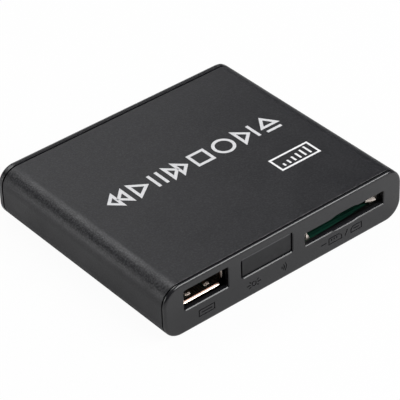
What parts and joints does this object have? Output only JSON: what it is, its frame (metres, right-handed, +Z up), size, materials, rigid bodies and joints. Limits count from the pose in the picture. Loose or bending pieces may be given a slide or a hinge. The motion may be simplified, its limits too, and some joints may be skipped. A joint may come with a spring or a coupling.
{
  "type": "media player",
  "caption": "Pocket media player: rounded extruded aluminium case with moulded end panels, a serial bus receptacle, a remote window and a memory card slot.",
  "frame": {"origin": "middle of the footprint, on the surface the case stands on", "axes": "+X to the right seen from the front, +Y towards the rear sockets, +Z up; the front panel faces -Y"},
  "size_m": [0.08, 0.07, 0.0156],
  "materials": {
    "case_aluminium": "bead-blasted, black anodised, satin",
    "panel_plastic": "fine spark-eroded mould texture",
    "window_plastic": "smoked, passes infra-red light",
    "board_laminate": "green solder mask",
    "shell_metal": "tin-plated stamped sheet",
    "socket_plastic": "glass-filled moulding",
    "contact_gold": "gold-plated",
    "ferrule_metal": "nickel-plated, bright",
    "spring_steel": "drawn wire",
    "lamp_resin": "clear tinted resin",
    "chip_resin": "moulded package",
    "can_metal": "drawn can, satin"
  },
  "bodies": {
    "player": {"av_jack_body": "socket_plastic", "av_jack_ferrule": "ferrule_metal", "capacitor_1": "can_metal", "capacitor_2": "can_metal", "capacitor_3": "can_metal", "card_contact_1": "contact_gold", "card_contact_2": "contact_gold", "card_contact_3": "contact_gold", "card_contact_4": "contact_gold", "card_contact_5": "contact_gold", "card_contact_6": "contact_gold", "card_contact_7": "contact_gold", "card_contact_8": "contact_gold", "card_contact_9": "contact_gold", "card_socket_base": "socket_plastic", "card_socket_shell": "shell_metal", "case_sleeve": "case_aluminium", "clock_crystal": "can_metal", "component_jack_body": "socket_plastic", "component_jack_ferrule": "ferrule_metal", "dc_jack_body": "socket_plastic", "dc_jack_pin": "ferrule_metal", "front_panel": "panel_plastic", "ir_receiver": "socket_plastic", "ir_window": "window_plastic", "main_board": "board_laminate", "main_chip": "chip_resin", "memory_chip": "chip_resin", "power_coil": "chip_resin", "rear_panel": "panel_plastic", "receptacle_contact_1": "contact_gold", "receptacle_contact_2": "contact_gold", "receptacle_contact_3": "contact_gold", "receptacle_contact_4": "contact_gold", "receptacle_insulator": "socket_plastic", "receptacle_shell": "shell_metal", "slider_spring": "spring_steel", "status_led": "lamp_resin", "video_insulator": "socket_plastic", "video_shell": "shell_metal"},
    "slider": {"card_slider": "socket_plastic"}
  },
  "joints": [
    {"name": "card_slide", "type": "slide", "parent": "player", "child": "slider", "axis": [0, 1, 0], "range_m": [0, 0.0035], "stiffness_N_per_m": 60, "springref_m": -0.002, "deforming": ["slider_spring"]}
  ]
}
